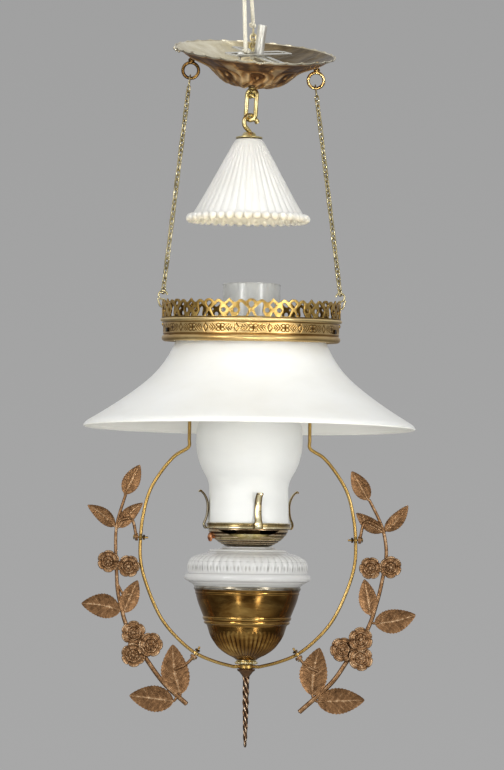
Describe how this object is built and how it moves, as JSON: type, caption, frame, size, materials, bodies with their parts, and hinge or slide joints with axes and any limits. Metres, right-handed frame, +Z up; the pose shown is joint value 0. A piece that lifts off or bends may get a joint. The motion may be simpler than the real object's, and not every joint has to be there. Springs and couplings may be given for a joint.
{
  "type": "hanging oil lamp",
  "caption": "Hanging library oil lamp: a wire harp with leaf sprays carries a brass bowl, glass font and flared shade, hung on chains from a pressed canopy with a smoke bell.",
  "frame": {"origin": "where a ceiling hook bears, at the top inside of the hanging eye", "axes": "+Z up along the hanging lamp, +X to the right seen from the front, where the harp lies in the XZ plane, +Y away from the front"},
  "size_m": [0.3348, 0.332, 0.7785],
  "materials": {
    "zinc": "zinc plated, slightly dull",
    "cord": "twisted cotton cord",
    "canopy_brass": "copper brown patina outside, worn bright inside",
    "old_brass": "darkened polished brass",
    "gold_brass": "bright brass",
    "antique_brass": "antique brass with dark hollows",
    "spray_bronze": "copper bronze, rubbed on the high places",
    "milk_glass": "opaque white glass",
    "shade_glass": "glossy opal glass",
    "chimney_glass": "clear above, opal below",
    "font_glass": "clear pressed glass",
    "wick": "woven cotton"
  },
  "bodies": {
    "canopy": {"hanging_eye": "zinc", "cord_left": "cord", "cord_right": "cord", "canopy": "canopy_brass", "eye_bolt_left": "old_brass", "eye_bolt_right": "old_brass", "crossbar_upper": "zinc", "crossbar_lower": "zinc", "crossbar_screw": "zinc", "nipple": "zinc", "locknut": "zinc", "centre_hook": "old_brass", "top_chain": "gold_brass"},
    "smoke_bell": {"bell_hook": "old_brass", "bell_cap": "old_brass", "bell_nut": "old_brass", "smoke_bell": "milk_glass"},
    "chains": {"chain_left": "gold_brass", "chain_right": "gold_brass", "s_hook_left": "old_brass", "s_hook_right": "old_brass"},
    "shade_ring": {"ring_gallery": "old_brass", "ring_band": "old_brass", "shade_catch_1": "antique_brass", "shade_catch_2": "antique_brass", "shade_catch_3": "antique_brass", "shade_catch_4": "antique_brass", "shade": "shade_glass"},
    "harp": {"harp": "gold_brass", "bowl": "antique_brass", "bowl_collar": "gold_brass", "centre_bolt": "antique_brass", "finial": "antique_brass", "spray_left": "spray_bronze", "spray_right": "spray_bronze", "bolt_left_upper": "antique_brass", "bolt_left_lower": "antique_brass", "bolt_right_upper": "antique_brass", "bolt_right_lower": "antique_brass", "nut_left_upper": "antique_brass", "nut_left_lower": "antique_brass", "nut_right_upper": "antique_brass", "nut_right_lower": "antique_brass"},
    "font": {"font": "font_glass", "font_collar": "gold_brass", "burner_basket": "antique_brass", "prong_gallery": "old_brass", "flame_dome": "gold_brass", "wick_tube": "old_brass"},
    "chimney": {"chimney": "chimney_glass"},
    "wick_wheel": {"wick_knob": "old_brass"},
    "wick": {"wick": "wick"}
  },
  "joints": [
    {"name": "bell_swing", "type": "hinge", "parent": "canopy", "child": "smoke_bell", "pos_m": [0.00584, 0.00316, -0.1477], "axis": [0.9397, -0.342, 0], "range_deg": [-8, 8]},
    {"name": "lamp_swing", "type": "hinge", "parent": "canopy", "child": "chains", "pos_m": [0.00599, 0.00248, -0.11063], "axis": [0.9978, 0, -0.0663], "range_deg": [-8, 8]},
    {"name": "ring_swing", "type": "hinge", "parent": "chains", "child": "shade_ring", "pos_m": [0.008, 0, -0.3379], "axis": [1, 0, 0], "range_deg": [-6, 6]},
    {"name": "harp_swing", "type": "hinge", "parent": "shade_ring", "child": "harp", "pos_m": [0.008, 0, -0.35529], "axis": [1, 0, 0], "range_deg": [-6, 6]},
    {"name": "font_lift", "type": "slide", "parent": "harp", "child": "font", "axis": [0, 0, 1], "range_m": [0, 0.015]},
    {"name": "chimney_lift", "type": "slide", "parent": "font", "child": "chimney", "axis": [0, 0, 1], "range_m": [0, 0.04]},
    {"name": "wick_turn", "type": "hinge", "parent": "font", "child": "wick_wheel", "pos_m": [0.008, 0, -0.56748], "axis": [-0.9613, -0.2756, 0], "range_deg": [-60, 60]},
    {"name": "wick_raise", "type": "slide", "parent": "font", "child": "wick", "axis": [0, 0, 1], "range_m": [-0.0045, 0.0045]}
  ],
  "couplings": [
    {"joint": "wick_raise", "follows": "wick_turn", "m_per_rad": 0.004}
  ]
}
